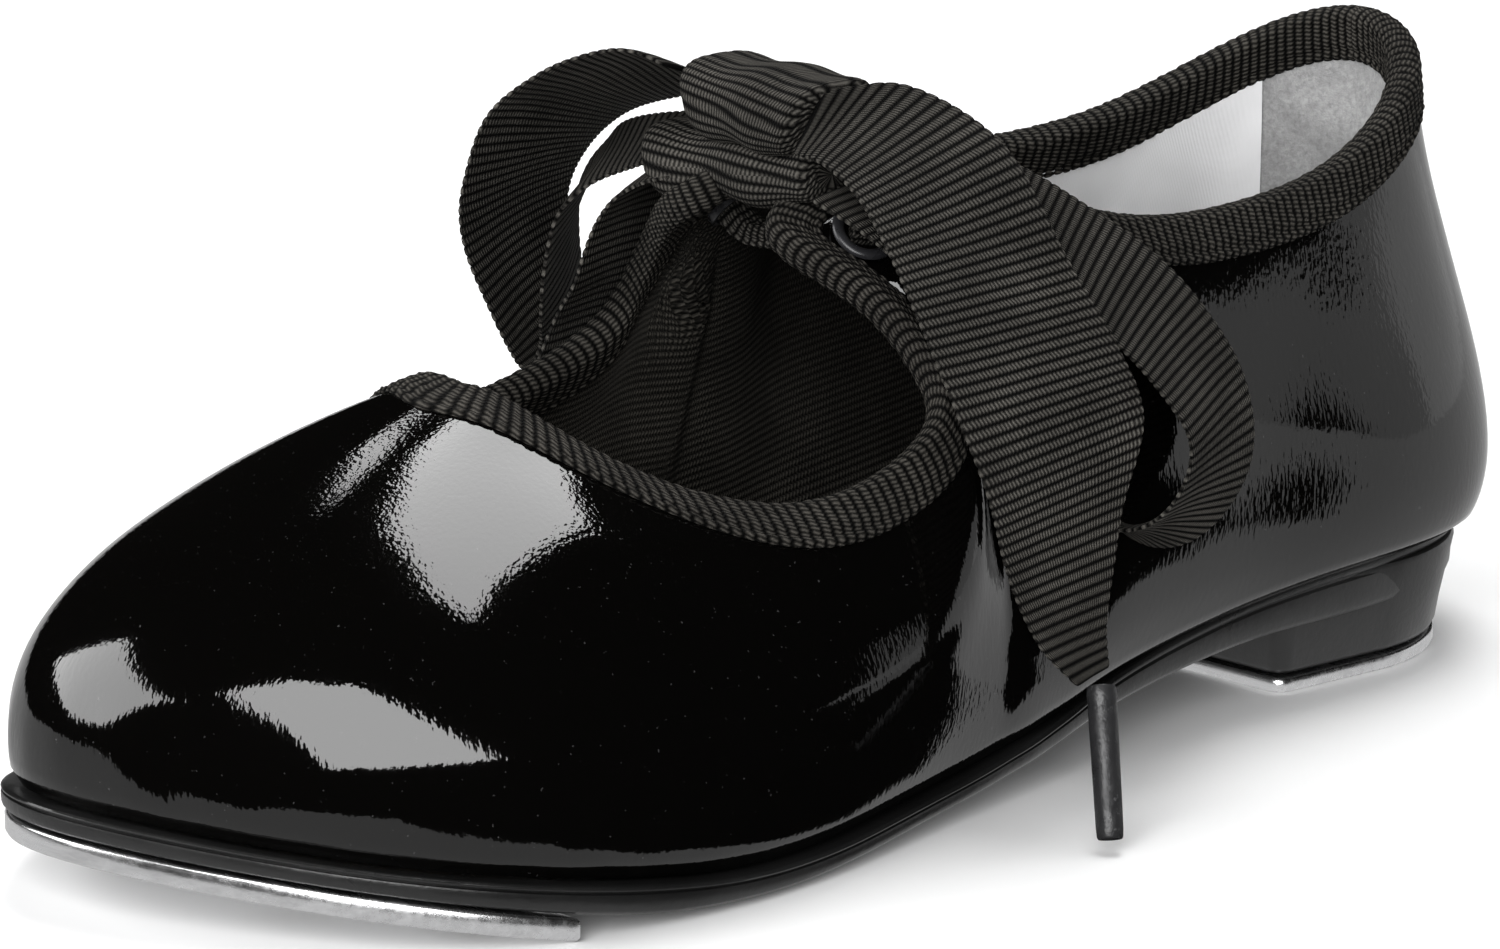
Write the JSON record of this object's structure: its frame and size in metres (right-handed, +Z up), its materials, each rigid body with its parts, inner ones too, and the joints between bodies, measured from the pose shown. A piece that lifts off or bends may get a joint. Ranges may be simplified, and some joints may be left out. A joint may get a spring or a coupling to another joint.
{
  "type": "tap shoe",
  "caption": "Ribbon-tied patent tap shoe with a low heel, bound topline with two eyelet tabs, bow, and metal taps under heel and toe; the sole bends at the ball.",
  "frame": {"origin": "on the ground face of the heel tap, at the centre of the heel's round back", "axes": "+X to the toe, +Y to the outer (lateral) side, +Z up; a left shoe"},
  "size_m": [0.176, 0.088, 0.0689],
  "materials": {
    "patent": "mirror gloss black patent",
    "sole": "semi-gloss moulded black",
    "tap": "satin, lightly scratched",
    "screw": "zinc plated",
    "shank": "mill finish",
    "board": "fibre board",
    "stiffener": "resin-stiffened felt",
    "sock": "foam-backed black textile",
    "black_lining": "ribbed black cotton",
    "heel_lining": "brushed white non-woven",
    "label": "white satin tape",
    "binding": "ribbed black tape",
    "ribbon": "black grosgrain",
    "eyelet": "black enamel",
    "aglet": "crimped black plastic"
  },
  "bodies": {
    "rear_shoe": {"outsole_shank_and_heel": "sole", "heel_tap": "tap", "heel_tap_screw_1": "screw", "heel_tap_screw_2": "screw", "heel_tap_screw_3": "screw", "insole_board_rear": "board", "sock_lining_rear": "sock", "steel_shank": "shank", "quarters": "patent", "heel_counter": "stiffener", "quarter_lining_lateral": "black_lining", "quarter_lining_medial": "black_lining", "heel_lining": "heel_lining", "size_label": "label", "quarter_binding": "binding", "eyelet_lateral": "eyelet", "eyelet_medial": "eyelet", "knot": "ribbon", "lace_bridge": "ribbon"},
    "forefoot": {"outsole_forepart": "sole", "toe_tap": "tap", "toe_tap_screw_1": "screw", "toe_tap_screw_2": "screw", "toe_tap_screw_3": "screw", "toe_tap_screw_4": "screw", "insole_board_forepart": "board", "sock_lining_forepart": "sock", "vamp": "patent", "toe_puff": "stiffener", "vamp_lining": "black_lining", "vamp_binding": "binding"},
    "loop_lateral": {"loop_lateral": "ribbon"},
    "tail_lateral": {"tail_lateral": "ribbon", "aglet_lateral": "aglet"},
    "tail_medial": {"tail_medial": "ribbon", "aglet_medial": "aglet"},
    "loop_medial": {"loop_medial": "ribbon"}
  },
  "joints": [
    {"name": "ball_flex", "type": "hinge", "parent": "rear_shoe", "child": "forefoot", "pos_m": [0.088, 0, 0.0015], "axis": [0, -1, 0], "range_deg": [0, 20], "stiffness_Nm_per_rad": 1},
    {"name": "lateral_loop_lift", "type": "hinge", "parent": "rear_shoe", "child": "loop_lateral", "pos_m": [0.066, 0.0094, 0.0667], "axis": [1, 0, 0], "range_deg": [0, 30]},
    {"name": "lateral_tail_lift", "type": "hinge", "parent": "loop_lateral", "child": "tail_lateral", "pos_m": [0.065, 0.0094, 0.0667], "axis": [1, 0, 0], "range_deg": [0, 45]},
    {"name": "medial_tail_lift", "type": "hinge", "parent": "rear_shoe", "child": "tail_medial", "pos_m": [0.069, -0.0094, 0.0672], "axis": [-1, 0, 0], "range_deg": [0, 30]},
    {"name": "medial_loop_lift", "type": "hinge", "parent": "tail_medial", "child": "loop_medial", "pos_m": [0.066, -0.0094, 0.0672], "axis": [-1, 0, 0], "range_deg": [0, 25]}
  ]
}
